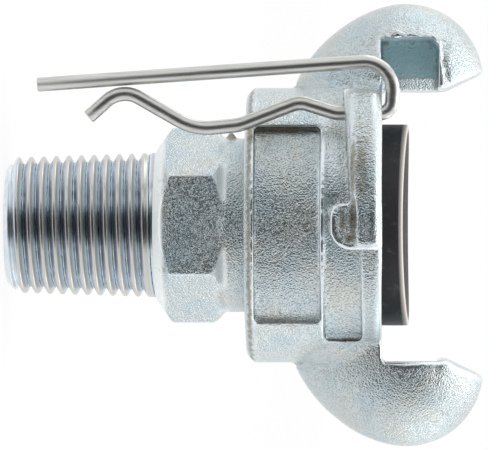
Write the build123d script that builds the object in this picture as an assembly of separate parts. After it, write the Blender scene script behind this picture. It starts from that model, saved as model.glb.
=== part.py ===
from build123d import *
import os
from math import atan2, cos, degrees, hypot, radians, sin, sqrt

os.makedirs("parts", exist_ok=True)

# One half of a twist-claw air-hose coupling, in millimetres. It stands on its threaded end: the
# origin is the centre of that end face and +Z runs along the axis to the claws. The casting is the
# same after half a turn about Z, so one lug, one claw and one recess are made and then copied round.
# Angles on the face are measured from the -Y side towards -X.

# Threaded shank and bore
thread_major_d = 20.955
shank_length = 21.4
shank_end_d = 16.8
shank_chamfer = 1.9
bore_d = 13.2

# Hexagon and neck
hex_across_flats = 24.4
hex_length = 11.0
hex_rear_d = 21.6
hex_rear_slope = 2.4
hex_front_d = 25.2
hex_front_slope = 3.2
neck_d = 25.0
neck_length = 2.1

# Hub, a wall round the seal's seat
hub_wall = 3.1
hub_length = 19.3
hub_rear_bevel = 1.1
hub_front_bevel = 0.5

# Cast recess on two sides of the hub
recess_width = 27.4
recess_length = 9.3
recess_depth = 1.7
recess_rear_wall = 1.4

# Track that the mating claw tip follows, in front of the recess. Its floor is an eccentric
# cylinder, so that it fades out beside the lug and is deepest at its lower end.
track_ridge = 0.5
track_length = 5.3
track_depth = 0.6
track_offset = 0.9
track_upper_reach = 13.2
track_lower_reach = 16.3

# Lug that the mating claw turns over, with the stop foot at one end and a low web at the other
lug_height = 5.8
lug_length = 5.3
lug_start = -8.0
lug_ramp = 3.2
lug_edge_bevel = 0.9
foot_step = 0.5
foot_length = 7.1
foot_sweep = 15.0
foot_corner_radius = 3.0
web_height = 2.8
web_length = 4.1
web_sweep = 24.0

# Clip hole through each lug, and the lug's wall past it towards the claw
clip_hole_d = 3.2
clip_hole_height = 2.0
clip_hole_angle = 45.0
clip_hole_wall = 2.1

# Claw: an egg turned about a line beside the hub, with a flat underside, a swelling at its root and
# a pocket with room for the mating lug
claw_axis_height = 0.9
claw_reach = 14.6
claw_head_radius = 11.2
claw_back_radius = 20.4
claw_lean = 17.4
claw_underside_drop = 0.3
claw_flat_length = 9.2
claw_tip_lift = 2.4
root_swell_radius = 12.6
root_swell_height = 2.9
root_swell_back = 3.5
pocket_front_room = 2.8
pocket_outer_room = 1.1
pocket_corner_depth = 1.6
pocket_corner_length = 0.9
pocket_wall_offset = 3.4
pocket_lead_in = 1.7

# Rubber seal and its seat
seal_lip_d = 28.9
seal_bore_d = 19.4
seal_flange_d = 33.0
seal_flange_thickness = 3.1
seal_mouth_depth = 2.1
seal_stand_out = 3.9
seal_seat_clearance = 0.1
seal_face_sag = 0.75
seal_face_tilt = 1.6
seal_bevel_depth = 1.2
seal_bevel_width = 2.6
bore_flare_length = 4.0

# Safety clip: one bent wire. The free leg and the waves are measured along Z from the hub face
# and outwards from the hole's line.
wire_d = 2.0
leg_end_back = 48.3
leg_end_out = 4.34
bend_ahead = 2.22
bend_out = 7.79
bend_radius = 4.0
entry_ahead = 1.55
entry_radius = 1.5
exit_back = 6.4
exit_radius = 3.0
crest_back = 11.5
crest_out = 1.89
crest_radius = 3.4
valley_start_back = 19.9
valley_start_in = 1.35
valley_start_radius = 6.0
valley_end_back = 26.2
valley_end_in = 1.95
valley_end_radius = 8.0
hump_back = 36.45
hump_out = 3.9
hump_radius = 3.9
tip_back = 41.1
tip_in = 0.2

# Places along the axis
hex_rear_z = shank_length
hex_front_z = hex_rear_z + hex_length
hub_rear_z = hex_front_z + neck_length
face_z = hub_rear_z + hub_length
crest_r = thread_major_d / 2
seat_r = seal_flange_d / 2 + seal_seat_clearance
hub_r = seat_r + hub_wall
lug_r = hub_r + lug_height
claw_axis_r = hub_r + claw_axis_height
underside_r = hub_r - claw_underside_drop
far = 8 * hub_r


def turned(points):
    """A solid of revolution about Z from points (radius, height)."""
    return revolve(Plane.XZ * make_face(Polyline(*points, close=True)), Axis.Z)


def sector(inner_r, outer_r, low_z, high_z, start, sweep):
    """A block between two radii and two heights, from one face angle over a sweep."""
    section = [(inner_r, low_z), (outer_r, low_z), (outer_r, high_z), (inner_r, high_z)]
    face = Plane.XZ * make_face(Polyline(*section, close=True))
    return Rot(0, 0, 270 - start - sweep) * revolve(face, Axis.Z, sweep)


def at_radius(shape_edges, radius):
    """The edges that lie wholly on a cylinder of that radius about Z."""
    found = []
    for edge in shape_edges:
        places = [edge @ t for t in (0, 0.5, 1)]
        if all(abs(hypot(p.X, p.Y) - radius) < 0.01 for p in places):
            found.append(edge)
    return found


def shank():
    """The plain blank of the threaded shank, at the thread's crest, with its end chamfer."""
    end_r = shank_end_d / 2
    return turned([(0, 0), (end_r, 0), (crest_r, shank_chamfer), (crest_r, hex_rear_z), (0, hex_rear_z)])


def hexagon_and_neck():
    """The spanner hexagon, corners towards X, sloped off at both ends, and the neck behind the hub."""
    corner_r = hex_across_flats / 2 / cos(radians(30))
    prism = Pos(0, 0, hex_rear_z) * extrude(RegularPolygon(corner_r, 6), hex_length)
    slopes = turned([
        (0, hex_rear_z),
        (hex_rear_d / 2, hex_rear_z),
        (corner_r, hex_rear_z + hex_rear_slope),
        (corner_r, hex_front_z - hex_front_slope),
        (hex_front_d / 2, hex_front_z),
        (0, hex_front_z),
    ])
    length = neck_length + hex_front_slope / 2 + hub_rear_bevel
    neck = Pos(0, 0, hex_front_z - hex_front_slope / 2 + length / 2) * Cylinder(neck_d / 2, length)
    return (prism & slopes) + neck


def hub():
    """The round hub with its rear and front edges broken."""
    drum = Pos(0, 0, hub_rear_z + hub_length / 2) * Cylinder(hub_r, hub_length)
    rims = drum.edges().filter_by(GeomType.CIRCLE).sort_by(Axis.Z)
    drum = chamfer(rims[0], hub_rear_bevel)
    front_rim = drum.edges().filter_by(GeomType.CIRCLE).sort_by(Axis.Z)[-1]
    return chamfer(front_rim, hub_front_bevel)


def side_cut(low_x, high_x, low_z, length, floor):
    """What is cut from the -Y side of the hub between two X places, down to a floor cylinder."""
    window = Pos((low_x + high_x) / 2, -far / 2, low_z + length / 2) * Box(high_x - low_x, far, length)
    return window - floor


def recess():
    """The cast recess between the rear rim and the ridge."""
    floor = Cylinder(hub_r - recess_depth, far)
    low_z = hub_rear_z + recess_rear_wall
    return side_cut(-recess_width / 2, recess_width / 2, low_z, recess_length, floor)


def track():
    """The shallow track for the mating claw's tip."""
    floor = Pos(-track_offset, 0, 0) * Cylinder(hub_r - track_depth, far)
    low_z = hub_rear_z + recess_rear_wall + recess_length + track_ridge
    return side_cut(-track_upper_reach, track_lower_reach, low_z, track_length, floor)


def lug():
    """The lug with its ramped rear face, its stop foot and the low web towards the claw. Its end
    beside the web is flat, a wall's thickness past the clip hole."""
    root_r = hub_r - 2 * recess_depth
    foot_r = lug_r - foot_step
    wedge = sector(root_r, lug_r, face_z - lug_length, face_z, lug_start, 90 - lug_start)
    hole_x, _ = clip_hole_place()
    flat_x = hole_x - clip_hole_d / 2 - clip_hole_wall
    wedge = wedge - Pos(flat_x - far / 2, 0, face_z) * Box(far, far, far)
    ramp = Rot(0, -lug_ramp, 0) * Pos(far / 2, 0, -far / 2) * Box(far, far, far)
    wedge = wedge - Pos(flat_x, 0, face_z - lug_length) * ramp
    wedge = chamfer(at_radius(wedge.edges(), lug_r), lug_edge_bevel)
    foot = sector(root_r, foot_r, face_z - foot_length, face_z - lug_edge_bevel, lug_start, foot_sweep)
    low = foot.edges().filter_by(GeomType.LINE).group_by(Axis.Z)[0]
    foot = fillet(low.sort_by(Axis.X)[-1], foot_corner_radius)
    web = sector(root_r, hub_r + web_height, face_z - web_length, face_z, clip_hole_angle, web_sweep)
    return wedge + foot + web


def arc_about(centre, radius, start, end):
    """An arc from one angle to another, in degrees, about a centre (across, height)."""
    def at(angle):
        return (centre[0] + radius * cos(radians(angle)), centre[1] + radius * sin(radians(angle)))
    return ThreePointArc(at(start), at((start + end) / 2), at(end))


def claw_blank():
    """The claw before its pocket, on the +X side: the egg above its axis, a skirt down into the hub
    and the swelling at the root. The egg's outline is a long back arc that runs into the round head
    without a corner."""
    head_z = face_z + claw_reach - claw_head_radius
    spread = claw_back_radius - claw_head_radius
    back_x = -spread * cos(radians(claw_lean))
    back_z = head_z + spread * sin(radians(claw_lean))
    root_angle = -degrees(atan2(sqrt(claw_back_radius**2 - back_x**2), -back_x))
    back = arc_about((back_x, back_z), claw_back_radius, root_angle, -claw_lean)
    head = arc_about((0, head_z), claw_head_radius, -claw_lean, 90)
    half = make_face(back + head + Line(head @ 1, back @ 0))
    side = Plane.XZ.move(Location((claw_axis_r, 0, 0)))
    egg = revolve(side * half, Axis((claw_axis_r, 0, 0), (0, 0, 1)))
    above = Pos(claw_axis_r + far / 2, 0, face_z) * Box(far, far, far)
    section = Plane(origin=(claw_axis_r, 0, 0), x_dir=(0, 1, 0), z_dir=(1, 0, 0))
    skirt = extrude(section * (half + mirror(half, Plane.YZ)), seal_lip_d / 2 - claw_axis_r)
    swell_x = hub_r + root_swell_height - root_swell_radius
    swell = Pos(swell_x, 0, face_z - root_swell_back) * Sphere(root_swell_radius)
    behind = Pos(far / 2, 0, face_z - far / 2) * Box(far, far, far)
    return (egg & above) + skirt + (swell & behind)


def claw_underside():
    """What lies under the claw in front of the hub face: flat, then rising to the tip."""
    tip_z = face_z + claw_reach
    side = [
        (0, face_z),
        (underside_r, face_z),
        (underside_r, face_z + claw_flat_length),
        (underside_r + claw_tip_lift, tip_z),
        (underside_r + claw_tip_lift, tip_z + claw_reach),
        (0, tip_z + claw_reach),
    ]
    return extrude(Plane.XZ * make_face(Polyline(*side, close=True)), far, both=True)


def pocket():
    """The pocket that takes the mating lug, open on the +Y side and at the underside."""
    front_z = face_z + lug_length + pocket_front_room
    top_r = lug_r + pocket_outer_room
    section = [
        (0, face_z),
        (top_r, face_z),
        (top_r, front_z - pocket_corner_length),
        (top_r - pocket_corner_depth, front_z),
        (0, front_z),
    ]
    wall = Pos(0, -pocket_wall_offset, 0)
    room = wall * extrude(Plane.XZ * make_face(Polyline(*section, close=True)), -far)
    corner = [
        (underside_r - pocket_lead_in, -2 * pocket_lead_in),
        (underside_r + pocket_lead_in, 0),
        (underside_r + pocket_lead_in, pocket_lead_in),
        (underside_r - pocket_lead_in, pocket_lead_in),
    ]
    lead_in = Pos(0, 0, face_z) * extrude(make_face(Polyline(*corner, close=True)), front_z - face_z)
    return room + wall * lead_in


def claw():
    """One finished claw on the +X side."""
    return claw_blank() - claw_underside() - pocket()


def clip_hole_place():
    """The clip hole's line on the lug of the -Y side."""
    r = hub_r + clip_hole_height
    return -r * sin(radians(clip_hole_angle)), -r * cos(radians(clip_hole_angle))


def waterway():
    """The bore, its flare and the seal's seat, as one turned cut."""
    bore_r = bore_d / 2
    mouth_r = seal_lip_d / 2 + seal_seat_clearance
    seat_front = face_z - seal_mouth_depth
    seat_rear = seat_front - seal_flange_thickness - seal_seat_clearance
    return turned([
        (0, -1),
        (bore_r, -1),
        (bore_r, seat_rear - bore_flare_length),
        (seal_bore_d / 2, seat_rear),
        (seat_r, seat_rear),
        (seat_r, seat_front),
        (mouth_r, seat_front),
        (mouth_r, face_z + seal_stand_out),
        (0, face_z + seal_stand_out),
    ])


def coupling_body():
    """The whole casting: shank, hexagon, neck, hub, two lugs and two claws."""
    half_turn = Rot(0, 0, 180)
    drum = hub() + claw() + half_turn * claw()
    drum = drum - recess() - track() - half_turn * recess() - half_turn * track()
    body = shank() + hexagon_and_neck() + drum + lug() + half_turn * lug()
    hole_x, hole_y = clip_hole_place()
    hole = Pos(hole_x, hole_y, face_z) * Cylinder(clip_hole_d / 2, 3 * foot_length)
    return body - waterway() - hole - half_turn * hole


def rubber_seal():
    """The seal: a flange in the seat and a lip that stands out, its face worn into a shallow saddle."""
    lip_r = seal_lip_d / 2
    inner_r = seal_bore_d / 2
    flange_front = face_z - seal_mouth_depth - seal_seat_clearance
    rear = flange_front - seal_flange_thickness
    front = face_z + seal_stand_out
    ring = turned([
        (inner_r, rear),
        (seal_flange_d / 2, rear),
        (seal_flange_d / 2, flange_front),
        (lip_r, flange_front),
        (lip_r, front),
        (inner_r + seal_bevel_width, front),
        (inner_r, front - seal_face_sag - seal_bevel_depth),
    ])
    saddle_r = lip_r**2 / 2 / seal_face_sag
    saddle = Pos(0, 0, front - seal_face_sag) * Rot(seal_face_tilt, 0, 0) * Pos(0, 0, saddle_r)
    return ring - saddle * Rot(90, 0, 0) * Cylinder(saddle_r, far)


def safety_clip():
    """The spring-wire clip, bent in the plane through the hole's line that lies along X and Z."""
    hole_x, hole_y = clip_hole_place()

    def place(out, ahead):
        return (hole_x - out, hole_y, face_z + ahead)

    route = [
        place(leg_end_out, -leg_end_back),
        place(bend_out, bend_ahead),
        place(0, entry_ahead),
        place(0, -exit_back),
        place(crest_out, -crest_back),
        place(-valley_start_in, -valley_start_back),
        place(-valley_end_in, -valley_end_back),
        place(hump_out, -hump_back),
        place(-tip_in, -tip_back),
    ]
    bends = [
        bend_radius,
        entry_radius,
        exit_radius,
        crest_radius,
        valley_start_radius,
        valley_end_radius,
        hump_radius,
    ]
    path = FilletPolyline(*route, radius=bends)
    start = Plane(origin=path @ 0, z_dir=path % 0)
    return sweep(start * Circle(wire_d / 2), path=path)


export_step(coupling_body(), "parts/coupling_body.step")
export_step(rubber_seal(), "parts/rubber_seal.step")
export_step(safety_clip(), "parts/safety_clip.step")
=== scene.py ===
import math

import bmesh
import bpy
import numpy as np
from mathutils import Matrix, Vector


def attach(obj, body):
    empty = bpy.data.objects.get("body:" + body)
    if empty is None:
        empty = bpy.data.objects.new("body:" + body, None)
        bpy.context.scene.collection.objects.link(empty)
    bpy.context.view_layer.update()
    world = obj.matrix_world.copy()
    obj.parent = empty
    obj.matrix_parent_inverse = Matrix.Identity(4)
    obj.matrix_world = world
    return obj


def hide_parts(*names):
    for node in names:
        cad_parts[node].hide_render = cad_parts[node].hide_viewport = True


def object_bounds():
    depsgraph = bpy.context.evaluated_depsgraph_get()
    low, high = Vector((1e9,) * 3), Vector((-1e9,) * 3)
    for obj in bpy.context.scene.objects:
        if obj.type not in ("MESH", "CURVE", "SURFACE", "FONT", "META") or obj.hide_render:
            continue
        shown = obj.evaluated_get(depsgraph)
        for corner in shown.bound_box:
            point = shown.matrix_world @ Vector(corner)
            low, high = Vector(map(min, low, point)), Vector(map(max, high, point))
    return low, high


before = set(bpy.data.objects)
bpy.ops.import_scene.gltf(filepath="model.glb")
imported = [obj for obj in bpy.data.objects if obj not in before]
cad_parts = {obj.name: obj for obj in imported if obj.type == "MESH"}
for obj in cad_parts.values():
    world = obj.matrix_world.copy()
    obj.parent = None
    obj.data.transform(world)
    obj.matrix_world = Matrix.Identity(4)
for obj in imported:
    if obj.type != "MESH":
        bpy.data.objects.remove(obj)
cad_low, cad_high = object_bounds()

# The hub with its lugs and claws is the larger part of one malleable-iron casting. It is sand cast,
# so its skin is pitted and its edges are soft, and it is then zinc plated and passivated pale blue.
# Its form is the solid's own, cut off in the neck, where the turned hexagon takes over.
MM = 0.001
hub_cut_z = 33.9 * MM
neck_r = 12.5 * MM
skin_cell = 0.35 * MM
edge_softening = 6
stub_length = 0.3 * MM
stub_share = 0.96
casting_swell_mm = 5.0
casting_swell_height = 0.07 * MM
sand_lump_mm = 1.1
sand_lump_height = 0.007 * MM
# The moulding sand's grains are 0.1 to 0.3 mm across. The finer ones would not show in a picture of
# the whole coupling, so the skin's grain is drawn as coarse as this.
sand_grain_mm = 0.25
sand_grain_height = 0.19 * MM
film_patch_mm = 5.0
dirt_and_shade_patch_mm = 0.7
zinc_blue = "#BFCED4"
zinc_pale = "#CAD3D5"
# Painted shade: this grey darkens the low places of the sand grain.
zinc_pit_shade = "#8E979B"
zinc_straw = "#CDD1CE"
# This paler zinc lightens the turned cones: partly the turned finish, partly painted light.
zinc_turned_and_lit = "#E4E9EA"
# Painted highlight: this near white lightens the outstanding edges and some marked places.
zinc_edge_highlight = "#E6EEF2"
pocket_teal = "#BEE2EA"
# This brown fills the hollows and some faults: partly dirt, partly painted shade.
grime_and_shade_brown = "#74664A"
zinc_roughness = 0.285
dull_roughness = 0.5
bright_metallic = 0.22
smooth_bump = 0.2
hub_r_mm = 19.7
recess_from_mm = 35.6
track_to_mm = 51.3
deepest_floor = 2.3 * MM
shallow_share = 0.5
shallow_wander = 0.04
shallow_wander_mm = 2.2
claw_axis_mm = 20.6
pocket_from_mm = 53.9
pocket_to_mm = 62.0
pocket_r_mm = 9.4
pocket_from_x_mm = 21.0
pocket_tint = 0.85
hollow_rounds = 12
edge_from_mm = 0.03
edge_blend_mm = 0.12
rim_dirt_z_mm = 35.35
rim_dirt_reach_mm = 0.9
rim_dirt = 0.42
dirt_and_shade_wander = 0.6


def lattice_value(cells, seed):
    """A repeatable number from 0 to 1 for each whole-number lattice place: the fraction left when a
    large sine of the three place numbers is scaled up."""
    angle = cells @ np.array([127.1, 311.7, 74.7]) + seed * 53.3
    return np.modf(np.abs(np.sin(angle)) * 43758.5453)[0]


def smooth_noise(places, size, seed):
    """Value noise from -1 to 1: the eight lattice numbers round each place, mixed by smooth steps.
    Size is the lattice spacing in the unit of the places."""
    scaled = places / size
    base = np.floor(scaled)
    part = scaled - base
    ease = part * part * (3 - 2 * part)
    total = np.zeros(len(places))
    for corner in range(8):
        step = np.array([corner & 1, corner >> 1 & 1, corner >> 2 & 1])
        weight = np.prod(np.where(step, ease, 1 - ease), axis=1)
        total += weight * lattice_value(base + step, seed)
    return 2 * total - 1


def mesh_points(mesh):
    """The vertices of a mesh as an array."""
    points = np.empty(len(mesh.vertices) * 3)
    mesh.vertices.foreach_get("co", points)
    return points.reshape(-1, 3)


def vertex_normals(mesh):
    """The vertex normals of a mesh as an array."""
    normals = np.empty(len(mesh.vertices) * 3)
    mesh.vertex_normals.foreach_get("vector", normals)
    return normals.reshape(-1, 3)


def neighbour_mean(points, edges):
    """Each vertex's mean neighbour, summed along the edges."""
    total = np.zeros_like(points)
    count = np.zeros(len(points))
    for a, b in ((0, 1), (1, 0)):
        np.add.at(total, edges[:, a], points[edges[:, b]])
        np.add.at(count, edges[:, a], 1)
    return total / count[:, None]


def settled(points, edges, rounds):
    """Points moved by rounds of a gentle there-and-back smoothing, which rounds edges but keeps size."""
    for _ in range(rounds):
        points = points + 0.5 * (neighbour_mean(points, edges) - points)
        points = points - 0.52 * (neighbour_mean(points, edges) - points)
    return points


def mesh_edges(mesh):
    """The vertex pairs of a mesh's edges as an array."""
    edges = np.empty(len(mesh.edges) * 2, dtype=int)
    mesh.edges.foreach_get("vertices", edges)
    return edges.reshape(-1, 2)


def add_attribute(mesh, name, values):
    """Stores one number a vertex, for a material to read."""
    attribute = mesh.attributes.new(name, "FLOAT", "POINT")
    attribute.data.foreach_set("value", values.astype(np.float32))


def new_piece(name, mesh, material, body):
    """An object at the origin that shows a smooth-shaded mesh and rides on a body."""
    mesh.shade_smooth()
    piece = bpy.data.objects.new(name, mesh)
    bpy.context.scene.collection.objects.link(piece)
    piece.data.materials.append(material)
    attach(piece, body)
    return piece


def casting_blank(node):
    """A merged copy of the solid's mesh, cut off across the neck and capped there, with the stub of
    neck drawn in so that it lies inside the turned neck."""
    work = bmesh.new()
    work.from_mesh(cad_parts[node].data)
    bmesh.ops.remove_doubles(work, verts=work.verts, dist=1e-6)
    everything = work.verts[:] + work.edges[:] + work.faces[:]
    cut = {"plane_co": (0, 0, hub_cut_z), "plane_no": (0, 0, 1), "clear_inner": True}
    bmesh.ops.bisect_plane(work, geom=everything, **cut)
    rim = [edge for edge in work.edges if edge.is_boundary]
    bmesh.ops.triangle_fill(work, use_beauty=True, edges=rim)
    bmesh.ops.recalc_face_normals(work, faces=work.faces)
    mesh = bpy.data.meshes.new("hub_blank")
    work.to_mesh(mesh)
    work.free()
    points = mesh_points(mesh)
    across = np.hypot(points[:, 0], points[:, 1])
    stub = (points[:, 2] < hub_cut_z + stub_length) & (across > 0.9 * neck_r)
    points[stub, :2] *= stub_share
    mesh.vertices.foreach_set("co", points.ravel())
    return mesh


def even_skin(mesh, cell):
    """The same surface as even small cells, by a voxel remesh."""
    holder = bpy.data.objects.new("skin_work", mesh)
    bpy.context.scene.collection.objects.link(holder)
    remesh = holder.modifiers.new("even_cells", "REMESH")
    remesh.mode = "VOXEL"
    remesh.voxel_size = cell
    evaluated = holder.evaluated_get(bpy.context.evaluated_depsgraph_get())
    skin = bpy.data.meshes.new_from_object(evaluated)
    bpy.data.objects.remove(holder)
    return skin


def shallow_floors(mesh):
    """Lifts the floors of the recess and the track, which the casting has filled to a share of the
    solid's depth: a place between them under the hub's radius moves along Y until it keeps that share
    of its depth, and the share wanders a little."""
    points = mesh_points(mesh)
    across = np.hypot(points[:, 0], points[:, 1])
    depth = hub_r_mm * MM - across
    high = points[:, 2] / MM
    inside = (high > recess_from_mm) & (high < track_to_mm) & (depth > 0) & (depth < deepest_floor)
    share = shallow_share + shallow_wander * smooth_noise(points / MM, shallow_wander_mm, 5)
    lifted = np.sqrt(np.maximum((hub_r_mm * MM - share * depth) ** 2 - points[:, 0] ** 2, 0))
    points[inside, 1] = (np.sign(points[:, 1]) * lifted)[inside]
    mesh.vertices.foreach_set("co", points.ravel())
    mesh.update()


def casting_marks():
    """The casting's own small faults on the near side: X and Z in millimetres, reach along X and Z,
    height (below zero for a dent) and how much brown dirt and painted shade it gets (below zero for
    a painted highlight).
    A fault fades as the exponential of minus its distance in reaches, squared along X and cubed
    along Z, which gives it a flatter top along Z."""
    return [
        (-12.5, 44.2, 0.5, 0.5, 0.3, 0.0),
        (-10.8, 37.0, 0.8, 0.8, -0.15, 0.05),
        # These three are painted shade: dark lines along both ends of the recess and under the panel.
        (-13.5, 40.4, 0.5, 4.6, -0.15, 0.5),
        (13.9, 41.2, 0.22, 4.3, -0.1, 0.4),
        (16.2, 48.6, 0.25, 2.5, -0.1, 0.4),
        (-12.9, 32.2, 0.7, 0.9, 0.0, 0.5),
        (-2.8, 46.9, 0.9, 0.9, -0.45, 0.0),
        (-7.6, 50.9, 7.0, 1.3, 0.0, 0.32),
        (-8.5, 49.7, 5.0, 0.4, 0.0, 0.36),
        # These two are painted highlights along the ridge and the groove beside it.
        (-4.0, 45.4, 9.0, 0.5, 0.08, -1.2),
        (-7.5, 47.0, 5.5, 1.1, 0.0, -0.45),
        (-0.5, 48.4, 1.2, 0.45, -0.5, 0.4),
        (-0.9, 49.8, 1.5, 0.4, -0.45, 0.35),
        (1.8, 49.4, 0.7, 0.6, -0.45, 0.4),
        (0.7, 49.2, 0.5, 0.3, 0.35, 0.0),
        (0.6, 48.9, 3.0, 1.4, 0.0, 0.1),
        (1.6, 51.8, 1.6, 1.5, 0.0, 0.1),
        (-25.2, 62.7, 0.7, 0.7, -0.3, 0.1),
        (-23.3, 62.7, 1.5, 0.3, -0.35, 0.3),
        (-21.4, 63.1, 0.8, 0.3, -0.3, 0.3),
        (6.3, 22.7, 0.8, 1.2, 0.0, 0.2),
        (-6.4, 22.8, 0.8, 1.0, 0.0, 0.2),
        (6.2, 29.2, 0.9, 0.9, 0.0, 0.22),
        (-25.5, 51.5, 1.6, 2.4, -0.05, 0.13),
        (-29.3, 62.5, 2.2, 1.7, 0.0, 0.12),
        (-27.2, 55.6, 0.8, 0.8, 0.35, 0.05),
        (-26.2, 52.6, 1.0, 1.0, -0.15, 0.1),
        (20.0, 63.0, 1.0, 1.0, 0.3, 0.0),
    ]


def cast_finish(mesh, rounds):
    """Rounds the edges, raises the sand-cast swell, lumps and faults, and stores two numbers a place.
    The first, brown dirt together with painted shade, is how hollow it is against its wider
    surroundings, and more round the rear rim and in the faults. The second, a painted highlight, is
    how far it stands out, and more where a fault is marked bright."""
    edges = mesh_edges(mesh)
    points = settled(mesh_points(mesh), edges, rounds)
    mesh.vertices.foreach_set("co", points.ravel())
    mesh.update()
    normals = vertex_normals(mesh)
    wide = points
    for _ in range(hollow_rounds):
        wide = wide + 0.5 * (neighbour_mean(wide, edges) - wide)
    # How hollow a place is, for brown dirt together with painted shade in the hollows.
    grime_and_shade = np.einsum("ij,ij->i", wide - points, normals) / MM
    # Painted highlight on the edges that stand out.
    edge_highlight = np.clip((-grime_and_shade - edge_from_mm) / edge_blend_mm, 0, 1)
    mm = points / MM
    height = casting_swell_height * smooth_noise(mm, casting_swell_mm, 3)
    height += sand_lump_height * smooth_noise(mm, sand_lump_mm, 7)
    height += 0.5 * sand_lump_height * smooth_noise(mm, 0.5 * sand_lump_mm, 11)
    for x, z, reach_x, reach_z, rise, dirt_and_shade in casting_marks():
        away = ((mm[:, 0] - x) / reach_x) ** 2 + np.abs((mm[:, 2] - z) / reach_z) ** 3
        near = np.exp(-away) * (mm[:, 1] < 0)
        height += near * rise * MM
        grime_and_shade += near * max(dirt_and_shade, 0)
        edge_highlight += near * max(-dirt_and_shade, 0)
    across = np.hypot(mm[:, 0], mm[:, 1])
    from_rim = np.abs(mm[:, 2] - rim_dirt_z_mm) / rim_dirt_reach_mm
    grime_and_shade += rim_dirt * np.clip(1 - from_rim, 0, 1) * (across > 0.9 * hub_r_mm)
    points = np.clip(points + normals * height[:, None], cad_low, cad_high)
    mesh.vertices.foreach_set("co", points.ravel())
    add_attribute(mesh, "grime_and_shade", grime_and_shade)
    add_attribute(mesh, "edge", np.clip(edge_highlight, 0, 1))
    mesh.update()


def pocket_share(points):
    """How far each place lies inside a claw's pocket: between its end walls, near the claw's axis and
    on the outer side of it, with a soft limit of under a millimetre at each."""
    mm = points / MM
    out = np.abs(mm[:, 0])
    from_axis = np.hypot(out - claw_axis_mm, mm[:, 1])
    between = np.clip(3 * np.minimum(mm[:, 2] - pocket_from_mm, pocket_to_mm - mm[:, 2]), 0, 1)
    inside = between * np.clip((pocket_r_mm - from_axis) / 0.8, 0, 1)
    return pocket_tint * inside * np.clip((out - pocket_from_x_mm) / 0.5, 0, 1)


def linear(code):
    """A linear colour with full alpha from an sRGB hex code."""
    parts = [int(code[i:i + 2], 16) / 255 for i in (1, 3, 5)]
    return [p / 12.92 if p <= 0.04045 else ((p + 0.055) / 1.055) ** 2.4 for p in parts] + [1.0]


def add_node(tree, kind, settings=None, links=None, **values):
    """Adds a node of a kind, sets its properties and input values, and links its inputs by name or
    number to other nodes' outputs."""
    node = tree.nodes.new(kind)
    for name, value in (settings or {}).items():
        setattr(node, name, value)
    for name, value in values.items():
        node.inputs[int(name[1:]) if name[1:].isdigit() else name.replace("_", " ")].default_value = value
    for name, source in (links or {}).items():
        tree.links.new(source, node.inputs[name])
    return node


def ramp(tree, source, stops):
    """A colour ramp over stops of (place, linear colour)."""
    node = add_node(tree, "ShaderNodeValToRGB", links={"Fac": source})
    while len(node.color_ramp.elements) < len(stops):
        node.color_ramp.elements.new(0.5)
    for element, (place, colour) in zip(node.color_ramp.elements, stops):
        element.position = place
        element.color = colour
    return node.outputs["Color"]


def grey(level):
    """A grey of that linear level, for masks."""
    return (level, level, level, 1.0)


def metal_material(name):
    """A fresh material with a metal shader, and its tree, shader and object coordinates."""
    material = bpy.data.materials.new(name)
    material.use_nodes = True
    tree = material.node_tree
    shader = tree.nodes["Principled BSDF"]
    shader.inputs["Metallic"].default_value = 1.0
    place = add_node(tree, "ShaderNodeTexCoord").outputs["Object"]
    return material, tree, shader, place


def noise(tree, place, size_mm, detail=2.0):
    """Noise whose largest grains are that many millimetres across."""
    scale = 1 / (size_mm * MM)
    node = add_node(tree, "ShaderNodeTexNoise", links={"Vector": place}, Scale=scale, Detail=detail)
    return node.outputs["Fac"]


def attribute(tree, name):
    """A stored number of the piece."""
    return add_node(tree, "ShaderNodeAttribute", {"attribute_name": name}).outputs["Fac"]


def mixed(tree, share, colour, code):
    """A colour with a share of another, given as a code, mixed in."""
    node = add_node(tree, "ShaderNodeMix", {"data_type": "RGBA"}, {0: share, 6: colour}, _7=linear(code))
    return node.outputs[2]


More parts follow.
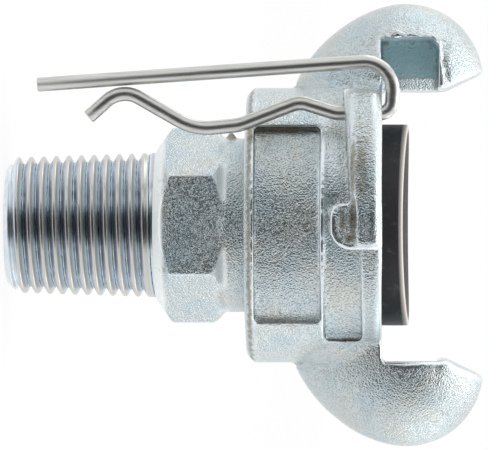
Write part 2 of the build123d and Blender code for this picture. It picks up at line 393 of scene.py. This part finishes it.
def zinc_plated_casting():
    """Zinc plating with a thin blue passivation over a sand-cast skin: a bright metal that the grains
    break up into glints, greyer low in the grain by painted shade, and warmer where the film is thick.
    It is lighter on the turned cones, partly for the turned finish and partly as painted light, has
    painted highlights on its outstanding edges, is teal in the pockets where the film is thickest, and
    is brown in the hollows, partly dirt and partly painted shade."""
    material, tree, shader, place = metal_material("zinc_plated_casting")
    film_stops = [(0.34, linear(zinc_blue)), (0.5, linear(zinc_pale)), (0.68, linear(zinc_straw))]
    colour = ramp(tree, noise(tree, place, film_patch_mm, 3.0), film_stops)
    grain = noise(tree, place, sand_grain_mm, 1.0)
    # Painted shade: the grain's low places are mixed toward grey.
    pit_shade = ramp(tree, grain, [(0.36, grey(0.36)), (0.5, grey(0.0))])
    colour = mixed(tree, pit_shade, colour, zinc_pit_shade)
    pocket = attribute(tree, "pocket")
    colour = mixed(tree, pocket, colour, pocket_teal)
    # The turned cones are lightened: partly the turned finish, partly painted light.
    colour = mixed(tree, attribute(tree, "turned"), colour, zinc_turned_and_lit)
    # Painted highlight on the outstanding edges.
    colour = mixed(tree, attribute(tree, "edge"), colour, zinc_edge_highlight)
    # Brown in the hollows and faults: partly dirt, partly painted shade.
    level = {"operation": "MULTIPLY_ADD"}
    links = {0: noise(tree, place, dirt_and_shade_patch_mm, 4.0), 2: attribute(tree, "grime_and_shade")}
    dirt_and_shade_level = add_node(tree, "ShaderNodeMath", level, links, _1=dirt_and_shade_wander)
    dirt_and_shade_stops = [(0.45, grey(0.0)), (0.6, grey(0.55)), (0.95, grey(0.85))]
    dirt_and_shade = ramp(tree, dirt_and_shade_level.outputs[0], dirt_and_shade_stops)
    colour = mixed(tree, dirt_and_shade, colour, grime_and_shade_brown)
    tree.links.new(colour, shader.inputs["Base Color"])
    dull = add_node(tree, "ShaderNodeMath", {"operation": "MAXIMUM"}, {0: dirt_and_shade, 1: pocket})
    dullness = {"To_Min": zinc_roughness, "To_Max": dull_roughness}
    rough = add_node(tree, "ShaderNodeMapRange", links={"Value": dull.outputs[0]}, **dullness)
    tree.links.new(rough.outputs[0], shader.inputs["Roughness"])
    links = {0: attribute(tree, "turned"), 1: pocket}
    bright = add_node(tree, "ShaderNodeMath", {"operation": "MAXIMUM"}, links)
    links = {"Value": bright.outputs[0]}
    plated = add_node(tree, "ShaderNodeMapRange", links=links, To_Min=1.0, To_Max=bright_metallic)
    tree.links.new(plated.outputs[0], shader.inputs["Metallic"])
    links = {0: attribute(tree, "turned"), 1: attribute(tree, "edge")}
    smooth = add_node(tree, "ShaderNodeMath", {"operation": "MAXIMUM"}, links)
    links = {"Value": smooth.outputs[0]}
    cast = add_node(tree, "ShaderNodeMapRange", links=links, To_Min=1.0, To_Max=smooth_bump)
    links = {"Height": grain, "Strength": cast.outputs[0]}
    bump = add_node(tree, "ShaderNodeBump", links=links, Distance=sand_grain_height)
    tree.links.new(bump.outputs["Normal"], shader.inputs["Normal"])
    return material


casting_material = zinc_plated_casting()
hub_mesh = even_skin(casting_blank("coupling_body"), skin_cell)
hub_mesh.name = "hub_and_claws"
shallow_floors(hub_mesh)
add_attribute(hub_mesh, "pocket", pocket_share(mesh_points(hub_mesh)))
cast_finish(hub_mesh, edge_softening)
hub_and_claws = new_piece("hub_and_claws", hub_mesh, casting_material, "coupling")
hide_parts("coupling_body")

# The hexagon and the neck belong to the same casting. The hexagon's flats are cast and left as they
# are, and its two ends are turned off to cones, so its corners run out in curved edges.
hex_rear_z = 21.4 * MM
hex_front_z = 31.7 * MM
hex_half_flats = 12.2 * MM
hex_rear_r = 10.8 * MM
hex_rear_slope = 2.4 * MM
hex_front_slope = 2.0 * MM
neck_end_z = 35.0 * MM
hex_corner_rounding = 0.35 * MM
hex_blend_length = 1.3 * MM
rear_cone_fade = 0.6 * MM
front_cone_fade = 0.3 * MM
front_neck_fade = 0.4 * MM
front_cut_fade = 0.25 * MM
# The front cone's lightening is painted light that lifts the dark reflection of the hub's shaded rear face.
front_cone_brightness = 0.8
nub_z = 32.2 * MM
nub_turn = math.radians(186)
nub_reach = 0.6 * MM
nub_height = 1.0 * MM
bore_r_mm = 6.6


def grid_mesh(name, points, join_rows=False, cap_ends=False):
    """A mesh from a grid of points, rows by columns, whose last column meets the first. Its last row
    meets its first where the rows join, or each end row is closed by one flat face."""
    rows, columns = points.shape[:2]
    row, column = np.meshgrid(np.arange(rows if join_rows else rows - 1), np.arange(columns), indexing="ij")
    next_row, next_column = (row + 1) % rows, (column + 1) % columns
    corners = [(row, column), (row, next_column), (next_row, next_column), (next_row, column)]
    faces = np.stack([r * columns + c for r, c in corners], axis=-1).reshape(-1, 4).tolist()
    if cap_ends:
        faces.append(list(range(columns))[::-1])
        faces.append(list(range((rows - 1) * columns, rows * columns)))
    mesh = bpy.data.meshes.new(name)
    mesh.from_pydata(points.reshape(-1, 3), [], faces)
    mesh.update()
    return mesh


def soft_least(a, b, width):
    """The smaller of two arrays, with the corner between them rounded over a width."""
    gap = np.clip(0.5 + 0.5 * (a - b) / width, 0, 1)
    return a * (1 - gap) + b * gap - width * gap * (1 - gap)


def turned_rows(profile_mm, turns):
    """Rings of points at the given turns for each (radius, height) of a profile in millimetres."""
    r = np.array([point[0] for point in profile_mm])[:, None] * MM
    z = np.array([point[1] for point in profile_mm])[:, None] * MM
    return np.stack([r * np.cos(turns), r * np.sin(turns), z + 0 * turns], axis=-1)


def hexagon_points(rounds=432, steps=150):
    """Outside: at polar angle t and height z the radius is the least of the hexagon's own polar
    radius, half its flats over the cosine of the angle from the nearest flat's middle, and the end
    cones. The grid then turns in behind the hub and runs back along the bore."""
    t = np.linspace(0, 2 * math.pi, rounds, endpoint=False)
    z = np.linspace(hex_rear_z, neck_end_z, steps)
    from_flat = t % (math.pi / 3) - math.pi / 6
    flats = hex_half_flats / np.cos(from_flat)
    corner_r = hex_half_flats / math.cos(math.pi / 6)
    cone_z = [hex_rear_z, hex_rear_z + hex_rear_slope, hex_front_z - hex_front_slope, hex_front_z]
    cone_r = [hex_rear_r, corner_r, corner_r, neck_r]
    cone = np.interp(z, cone_z, cone_r)[:, None]
    radius = soft_least(np.broadcast_to(flats, (steps, rounds)), cone, hex_corner_rounding)
    into_neck = np.clip((z - hex_front_z + hex_blend_length) / hex_blend_length, 0, 1)[:, None]
    into_neck = into_neck * into_neck * (3 - 2 * into_neck)
    radius = radius + into_neck * (neck_r - radius)
    nub = np.exp(-((z[:, None] - nub_z) ** 2 + (neck_r * (t - nub_turn)) ** 2) / nub_reach**2)
    radius = radius + nub_height * nub
    high = np.broadcast_to(z[:, None], radius.shape)
    outer = np.stack([radius * np.cos(t), radius * np.sin(t), high], axis=-1)
    along_bore = [(bore_r_mm, high_mm) for high_mm in (33.95, 30.0, 26.0, 22.0)]
    return np.concatenate([outer, turned_rows([(9.0, 34.6), *along_bore, (8.6, 21.45)], t)])


def turned_and_lit_share(points):
    """How far each place lies on a turned cone: below the rear cone's edge, or where the front cone
    has cut a corner to less than the flats' own polar radius. The material paints these places
    lighter, partly for the turned finish and partly as painted light."""
    turn = np.arctan2(points[:, 1], points[:, 0])
    across = np.hypot(points[:, 0], points[:, 1])
    cut = hex_half_flats / np.cos(turn % (math.pi / 3) - math.pi / 6) - across
    high = points[:, 2]
    rear = np.clip(1 + (hex_rear_z + 0.5 * hex_rear_slope - high) / rear_cone_fade, 0, 1)
    from_slope = np.clip((high - hex_front_z + hex_front_slope) / front_cone_fade, 0, 1)
    to_neck = np.clip(1 + (hex_front_z - high) / front_neck_fade, 0, 1)
    front = np.clip(cut / front_cut_fade, 0, 1) * from_slope * to_neck
    return np.maximum(rear, front_cone_brightness * front)


hexagon_mesh = grid_mesh("hexagon_and_neck", hexagon_points(), join_rows=True)
cast_finish(hexagon_mesh, 0)
add_attribute(hexagon_mesh, "turned", turned_and_lit_share(mesh_points(hexagon_mesh)))
hexagon = new_piece("hexagon_and_neck", hexagon_mesh, casting_material, "coupling")
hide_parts("coupling_body")

# The shank's half-inch pipe thread is cut in the casting before it is plated: 14 turns to the inch,
# with a 55 degree form and rounded crests, tapering by 1 in 16. The bore runs on through it.
thread_pitch = 1.814 * MM
thread_depth = 1.05 * MM
thread_taper = 1 / 32
thread_crest_r = 10.42 * MM
thread_start_turns = 0.185
thread_crest_share = 0.17
thread_flank_share = 0.75
thread_end_gap = 0.7 * MM
thread_run_out = 1.2 * MM
thread_end_rounding = 0.12 * MM
shank_end_r = 8.3 * MM
shank_length = 21.4 * MM
shank_overlap = 0.1 * MM
end_chamfer = 1.9 * MM
end_band = 0.08
end_band_blend = 0.3 * MM
film_wander_mm = 1.2
film_wander = 0.14
thread_grain_mm = 0.25
thread_grain_height = 0.012 * MM
thread_roughness = 0.28
# The first colour below is painted shade for the roots, the third a painted highlight beside them.
thread_root_shade = "#5E6266"
thread_blue = "#C2D2DD"
thread_root_highlight = "#E9EEF1"
thread_violet = "#C6BCCB"
thread_straw = "#C6C3B6"
thread_silver = "#CBCDCC"


def thread_phase(t, z):
    """How far along one pitch a place lies, from 0 to 1, with the crest at 0.5."""
    return (z / thread_pitch - t / (2 * math.pi) + thread_start_turns) % 1


def threaded_points(rounds=216, steps=330):
    """Outside: radius is the tapered crest less the thread's depth times its form, a flat-topped
    triangle wave along the pitch, held inside the end chamfer's cone. The grid then turns in behind
    the hexagon, runs back along the bore and out over the end face."""
    t = np.linspace(0, 2 * math.pi, rounds, endpoint=False)
    z = np.linspace(0, shank_length + shank_overlap, steps)[:, None]
    wave = np.abs(2 * thread_phase(t, z) - 1)
    form = np.clip((wave - thread_crest_share) / thread_flank_share, 0, 1)
    form = 0.5 * form + 0.5 * form * form * (3 - 2 * form)
    crest = thread_crest_r - (shank_length - z) * thread_taper
    run_out = np.clip((shank_length - thread_end_gap - z) / thread_run_out, 0, 1)
    radius = crest - thread_depth * form * run_out
    cone = shank_end_r + z * (thread_crest_r - shank_end_r) / end_chamfer
    radius = soft_least(radius, cone, thread_end_rounding)
    outer = np.stack([radius * np.cos(t), radius * np.sin(t), np.broadcast_to(z, radius.shape)], axis=-1)
    along_bore = [(bore_r_mm, high_mm) for high_mm in (21.5, 16.0, 10.0, 4.0, 0.15)]
    return np.concatenate([outer, turned_rows([*along_bore, (6.75, 0.0), (7.5, 0.0)], t)])


def zinc_plated_thread():
    """Zinc plating over a cut thread: nearly smooth, with violet, blue and straw bands along the
    flanks where the passivation film is thinner or thicker, painted shade in the roots and a painted
    highlight line on one side of each root."""
    material, tree, shader, place = metal_material("zinc_plated_cut_thread")
    links = {0: noise(tree, place, film_wander_mm, 4.0), 2: attribute(tree, "phase")}
    wander = add_node(tree, "ShaderNodeMath", {"operation": "MULTIPLY_ADD"}, links, _1=film_wander)
    stops = [
        # Painted shade at the roots, then a painted highlight line.
        (0.07, linear(thread_root_shade)),
        (0.11, linear(thread_root_highlight)),
        (0.22, linear(thread_blue)),
        (0.3, linear(thread_violet)),
        (0.5, linear(thread_silver)),
        (0.78, linear(thread_straw)),
        (0.86, linear(thread_blue)),
        (0.98, linear(thread_blue)),
        (1.0, linear(thread_root_shade)),
    ]
    bands = ramp(tree, wander.outputs[0], stops)
    tree.links.new(bands, shader.inputs["Base Color"])
    shader.inputs["Roughness"].default_value = thread_roughness
    links = {"Height": noise(tree, place, thread_grain_mm, 3.0)}
    bump = add_node(tree, "ShaderNodeBump", links=links, Strength=1.0, Distance=thread_grain_height)
    tree.links.new(bump.outputs["Normal"], shader.inputs["Normal"])
    return material


thread_mesh = grid_mesh("threaded_shank", threaded_points(), join_rows=True)
thread_places = mesh_points(thread_mesh)
thread_turn = np.arctan2(thread_places[:, 1], thread_places[:, 0])
thread_bands = thread_phase(thread_turn, thread_places[:, 2])
end_share = np.clip((end_chamfer - thread_places[:, 2]) / end_band_blend, 0, 1)
add_attribute(thread_mesh, "phase", thread_bands + end_share * (end_band - thread_bands))
thread_material = zinc_plated_thread()
threaded_shank = new_piece("threaded_shank", thread_mesh, thread_material, "coupling")
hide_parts("coupling_body")

# The seal is one moulded ring of black nitrile rubber. Its base flange sits in the groove behind the
# hub's face, and its lip stands out, worn into a shallow saddle by the halves it has met.
lip_r = 14.45 * MM
face_z = 53.8 * MM
lip_height = 3.9 * MM
saddle_depth = 0.5 * MM
saddle_tilt = 0.035
worn_sheen_from_z = 57.2 * MM
worn_sheen_from_r = 13.7 * MM
worn_sheen_blend = 0.25 * MM
rubber_black = "#2B2B2E"
rubber_dust = "#565656"
# Pale for the lip's outer edge: partly wear, partly painted sheen.
rubber_worn_and_sheen = "#E2D8D1"
dust_fleck_mm = 5 / 3
rubber_grain_mm = 0.4
rubber_grain_height = 0.08 * MM
rubber_grain_bump = 0.25
worn_sheen_grain_bump = 0.02
rubber_ior = 1.5
rubber_specular = 0.3
rubber_roughness = 0.5
worn_sheen_roughness = 0.4


def seal_points(rounds=240):
    """A profile of (radius, height) carried round the axis. Above the hub face its height drops by
    the saddle: a shallow bowl along X that is lower towards -Y."""
    flange = [(9.7, 48.5), (12.0, 48.5), (16.3, 48.5), (16.5, 48.7), (16.5, 51.4), (16.3, 51.6), (14.6, 51.6)]
    lip_side = [(14.45, 51.8), (14.45, 53.8), (14.45, 55.5), (14.45, 56.8), (14.43, 57.35), (14.36, 57.58)]
    lip_top = [(14.2, 57.68), (13.9, 57.7), (13.3, 57.68), (12.7, 57.55), (12.1, 57.3), (11.3, 56.9)]
    bore = [(10.6, 56.5), (10.1, 56.2), (9.8, 55.8), (9.7, 55.3), (9.7, 53.0), (9.7, 50.5)]
    profile = np.array(flange + lip_side + lip_top + bore) * MM
    t = np.linspace(0, 2 * math.pi, rounds, endpoint=False)
    r, h = profile[:, 0, None], profile[:, 1, None]
    x, y = r * np.cos(t), r * np.sin(t)
    lift = np.clip((h - face_z) / lip_height, 0, 1)
    saddle = saddle_depth * (1 - (x / lip_r) ** 2) - saddle_tilt * y
    z = np.broadcast_to(h, x.shape) - lift * saddle
    # The lip's outer top edge is marked for a pale colour: partly wear, partly painted sheen.
    worn_and_sheen = np.clip((h - worn_sheen_from_z) / worn_sheen_blend, 0, 1) * np.clip((r - worn_sheen_from_r) / worn_sheen_blend, 0, 1)
    return np.stack([x, y, z], axis=-1), np.broadcast_to(worn_and_sheen, x.shape)


def nitrile_rubber():
    """Moulded nitrile rubber: nearly black, satin, with a fine moulded grain and pale dust, and a pale
    outer edge on its lip that is partly wear and partly painted sheen.
    """
    material = bpy.data.materials.new("moulded_nitrile_rubber")
    material.use_nodes = True
    tree = material.node_tree
    shader = tree.nodes["Principled BSDF"]
    shader.inputs["IOR"].default_value = rubber_ior
    shader.inputs["Specular IOR Level"].default_value = rubber_specular
    worn_and_sheen = attribute(tree, "worn_and_sheen")
    satin = {"To_Min": rubber_roughness, "To_Max": worn_sheen_roughness}
    rough = add_node(tree, "ShaderNodeMapRange", links={"Value": worn_and_sheen}, **satin)
    tree.links.new(rough.outputs[0], shader.inputs["Roughness"])
    place = add_node(tree, "ShaderNodeTexCoord").outputs["Object"]
    flecks = {"Scale": 1 / (dust_fleck_mm * MM), "Detail": 8.0, "Roughness": 0.7}
    dust = add_node(tree, "ShaderNodeTexNoise", links={"Vector": place}, **flecks)
    colour = ramp(tree, dust.outputs["Fac"], [(0.56, linear(rubber_black)), (0.85, linear(rubber_dust))])
    # Pale lip edge: partly wear, partly painted sheen.
    colour = mixed(tree, worn_and_sheen, colour, rubber_worn_and_sheen)
    tree.links.new(colour, shader.inputs["Base Color"])
    grain = {"To_Min": rubber_grain_bump, "To_Max": worn_sheen_grain_bump}
    moulded = add_node(tree, "ShaderNodeMapRange", links={"Value": worn_and_sheen}, **grain)
    links = {"Height": noise(tree, place, rubber_grain_mm, 3.0), "Strength": moulded.outputs[0]}
    bump = add_node(tree, "ShaderNodeBump", links=links, Distance=rubber_grain_height)
    tree.links.new(bump.outputs["Normal"], shader.inputs["Normal"])
    return material


seal_grid, seal_worn_and_sheen = seal_points()
seal_mesh = grid_mesh("seal_ring", seal_grid, join_rows=True)
add_attribute(seal_mesh, "worn_and_sheen", seal_worn_and_sheen.ravel())
seal_ring = new_piece("seal_ring", seal_mesh, nitrile_rubber(), "coupling")
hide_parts("rubber_seal")

# The safety clip is one length of 2 mm drawn spring wire, zinc plated bright, bent on a former and
# cut off square. It hangs from the near lug's hole by its tight bend.
wire_r = 1.0 * MM
clip_hole_r = 21.7 * MM
hole_x = hole_y = -clip_hole_r * math.sin(math.pi / 4)
clip_corners_mm = [
    (4.34, -48.3), (7.79, 1.9), (0.3, 1.3), (0.3, -6.4), (1.89, -11.5),
    (-1.35, -19.9), (-1.95, -26.2), (3.9, -36.45), (-0.2, -41.1),
]
clip_bend_mm = [4.0, 1.7, 3.0, 3.4, 6.0, 8.0, 3.9]
wire_end_bevel = 0.12 * MM
wire_ring_gap_mm = 0.18
wire_grey = "#C6C6C2"
wire_bright = "#DCDCD8"
draw_line_mm = 5 / 12
draw_line_depth = 0.05 * MM
draw_line_stretch = 20
draw_line_bump = 0.12
wire_roughness = 0.35


def bent_line(corners, radii, spacing):
    """Points along straight runs joined by tangent arcs: each corner is replaced by an arc that
    touches both runs at radius times the tangent of half the turn from the corner."""
    corners = np.array(corners, dtype=float)
    line = [corners[0]]
    for before, corner, after, radius in zip(corners, corners[1:], corners[2:], radii):
        a = (before - corner) / np.linalg.norm(before - corner)
        b = (after - corner) / np.linalg.norm(after - corner)
        half = math.acos(np.clip(a @ b, -1, 1)) / 2
        middle = (a + b) / np.linalg.norm(a + b)
        centre = corner + middle * radius / math.sin(half)
        start = corner + a * radius / math.tan(half) - centre
        end = corner + b * radius / math.tan(half) - centre
        sweep = math.pi - 2 * half
        share = np.linspace(0, 1, max(6, int(radius * sweep / spacing)))[:, None]
        arc = (np.sin((1 - share) * sweep) * start + np.sin(share * sweep) * end) / math.sin(sweep)
        line.extend(centre + arc)
    line.append(corners[-1])
    return np.array(line)


def wire_points(rounds=40):
    """Circles of the wire's radius, square to the bent line in its own plane, with a small bevel at
    both cut ends."""
    flat = bent_line(clip_corners_mm, clip_bend_mm, wire_ring_gap_mm) * MM
    run = np.concatenate([[0], np.cumsum(np.linalg.norm(np.diff(flat, axis=0), axis=1))])
    keep = np.concatenate([[True], np.diff(run) > 1e-7])
    flat, run = flat[keep], run[keep]
    along = np.gradient(flat, run, axis=0)
    along /= np.linalg.norm(along, axis=1)[:, None]
    start = flat[:1] + along[:1] * wire_end_bevel
    end = flat[-1:] - along[-1:] * wire_end_bevel
    flat = np.concatenate([flat[:1], start, flat[1:-1], end, flat[-1:]])
    along = np.concatenate([along[:1], along[:1], along[1:-1], along[-1:], along[-1:]])
    radius = np.full(len(flat), wire_r)
    radius[[0, -1]] = wire_r - wire_end_bevel
    t = np.linspace(0, 2 * math.pi, rounds, endpoint=False)
    nothing = np.zeros(len(flat))
    centre = np.stack([hole_x - flat[:, 0], nothing + hole_y, face_z + flat[:, 1]], axis=1)
    side = np.stack([along[:, 1], nothing, along[:, 0]], axis=1)
    depth = np.array([0.0, 1.0, 0.0])
    ring = np.cos(t)[None, :, None] * side[:, None] + np.sin(t)[None, :, None] * depth
    return centre[:, None] + radius[:, None, None] * ring


def bright_wire():
    """Drawn spring wire with bright zinc: smooth, with a warm grey tone and fine draw lines, which
    are noise stretched along the clip's legs."""
    material, tree, shader, place = metal_material("zinc_plated_spring_wire")
    along_legs = (1.0, 1.0, 1 / draw_line_stretch)
    stretch = add_node(tree, "ShaderNodeMapping", links={"Vector": place}, Scale=along_legs)
    lines = noise(tree, stretch.outputs["Vector"], draw_line_mm, 3.0)
    colour = ramp(tree, lines, [(0.35, linear(wire_grey)), (0.7, linear(wire_bright))])
    tree.links.new(colour, shader.inputs["Base Color"])
    shader.inputs["Roughness"].default_value = wire_roughness
    scored = {"Strength": draw_line_bump, "Distance": draw_line_depth}
    bump = add_node(tree, "ShaderNodeBump", links={"Height": lines}, **scored)
    tree.links.new(bump.outputs["Normal"], shader.inputs["Normal"])
    return material


clip_mesh = grid_mesh("wire_clip", wire_points(), cap_ends=True)
wire_clip = new_piece("wire_clip", clip_mesh, bright_wire(), "clip")
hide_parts("safety_clip")

# The studio is a pale floor in a white room, with one soft lamp over the claws and a weak one on each
# side. The room behind the camera is unlit, which a dark card that fades to its sides stands for.
# Only reflections show it.
floor_half = 3.0
floor_drop = 0.1 * MM
floor_white_share = 0.86
stage_white = "#FAFAFA"
card_distance = 0.6
card_half_width = 0.5
card_half_height = 0.95
card_dark_share = 0.56
card_dark = "#101214"
card_pale = "#E8ECEE"


def flat_sheet(name, corners, colour):
    """A single flat sheet of a matt colour."""
    mesh = bpy.data.meshes.new(name)
    mesh.from_pydata(corners, [], [(0, 1, 2, 3)])
    material = bpy.data.materials.new(name + "_matt")
    material.use_nodes = True
    shader = material.node_tree.nodes["Principled BSDF"]
    shader.inputs["Base Color"].default_value = linear(colour)
    shader.inputs["Roughness"].default_value = 1.0
    mesh.materials.append(material)
    sheet = bpy.data.objects.new(name, mesh)
    bpy.context.scene.collection.objects.link(sheet)
    return sheet


def shown_white(material, share):
    """Lets the camera see a share of plain white in a material, which keeps its shadows."""
    tree = material.node_tree
    path = add_node(tree, "ShaderNodeLightPath")
    links = {0: path.outputs["Is Camera Ray"]}
    part = add_node(tree, "ShaderNodeMath", {"operation": "MULTIPLY"}, links, _1=share)
    white = add_node(tree, "ShaderNodeEmission", Color=(1, 1, 1, 1), Strength=1.0)
    links = {0: part.outputs[0], 1: tree.nodes["Principled BSDF"].outputs[0], 2: white.outputs[0]}
    shown = add_node(tree, "ShaderNodeMixShader", links=links)
    tree.links.new(shown.outputs[0], tree.nodes["Material Output"].inputs["Surface"])


def soft_lamp(name, place, aim, size, watts):
    """A square soft light at a place, turned to an aim."""
    light = bpy.data.lights.new(name, "AREA")
    light.size = size
    light.energy = watts
    lamp = bpy.data.objects.new(name, light)
    bpy.context.scene.collection.objects.link(lamp)
    lamp.location = place
    lamp.rotation_mode = "QUATERNION"
    lamp.rotation_quaternion = (Vector(aim) - Vector(place)).to_track_quat("-Z", "Y")


floor_sides = ((-1, -1), (1, -1), (1, 1), (-1, 1))
floor_corners = [(i * floor_half, j * floor_half, -floor_drop) for i, j in floor_sides]
floor = flat_sheet("floor_sheet", floor_corners, stage_white)
floor.visible_glossy = False
shown_white(floor.data.materials[0], floor_white_share)
centre = (0, 0, 0.034)
card_ends = (centre[2] - card_half_height, centre[2] + card_half_height)
card_places = [(1, card_ends[0]), (-1, card_ends[0]), (-1, card_ends[1]), (1, card_ends[1])]
card_corners = [(i * card_half_width, -card_distance, z) for i, z in card_places]
card = flat_sheet("dark_card", card_corners, card_dark)
card_tree = card.data.materials[0].node_tree
card_place = add_node(card_tree, "ShaderNodeTexCoord").outputs["Object"]
card_scale = (1 / card_half_width, 0, 1 / card_half_height)
card_shift = (0, 0, -centre[2] / card_half_height)
card_fit = {"Location": card_shift, "Scale": card_scale}
card_map = add_node(card_tree, "ShaderNodeMapping", links={"Vector": card_place}, **card_fit)
card_links = {0: card_map.outputs["Vector"]}
card_away = add_node(card_tree, "ShaderNodeVectorMath", {"operation": "LENGTH"}, card_links)
card_stops = [(card_dark_share, linear(card_dark)), (1.0, linear(card_pale))]
card_colour = ramp(card_tree, card_away.outputs["Value"], card_stops)
card_tree.links.new(card_colour, card_tree.nodes["Principled BSDF"].inputs["Base Color"])
card.visible_camera = False
card.visible_diffuse = False
card.visible_shadow = False

soft_lamp("lamp_over_claws", (0, 0.1, 0.6), centre, size=0.5, watts=1.5)
soft_lamp("lamp_left", (-0.5, 0.2, 0.25), centre, size=0.4, watts=0.5)
soft_lamp("lamp_right", (0.5, 0.2, 0.25), centre, size=0.4, watts=0.5)

world = bpy.data.worlds.new("studio")
bpy.context.scene.world = world
world.use_nodes = True
sky = world.node_tree
background = sky.nodes["Background"]
background.inputs["Color"].default_value = (1, 1, 1, 1)
background.inputs["Strength"].default_value = 1.0

# The camera stands off the -Y side with a long lens, lying on its side, so that the coupling's axis
# runs left to right in the picture. It looks slightly down on the claws.
camera_distance = 0.56
camera_lift = math.radians(2.0)
picture_wide_mm = 70.27
sensor_wide_mm = 36
aim_z = 33.98 * MM
aim_x = -0.07 * MM


def lying_camera():
    """A camera whose right is the object's up and whose up is the object's -X."""
    data = bpy.data.cameras.new("camera")
    data.sensor_width = sensor_wide_mm
    data.lens = sensor_wide_mm * camera_distance / (picture_wide_mm * MM)
    data.clip_start = 0.05
    data.clip_end = 10
    camera = bpy.data.objects.new("camera", data)
    bpy.context.scene.collection.objects.link(camera)
    back = Vector((0, -math.cos(camera_lift), math.sin(camera_lift)))
    up = Vector((-1, 0, 0))
    right = up.cross(back)
    turn = Matrix((right, up, back)).transposed()
    place = Vector((aim_x, 0, aim_z)) + back * camera_distance
    camera.matrix_world = Matrix.Translation(place) @ turn.to_4x4()
    return camera


bpy.context.scene.camera = lying_camera()
bpy.context.scene.view_settings.view_transform = "Standard"
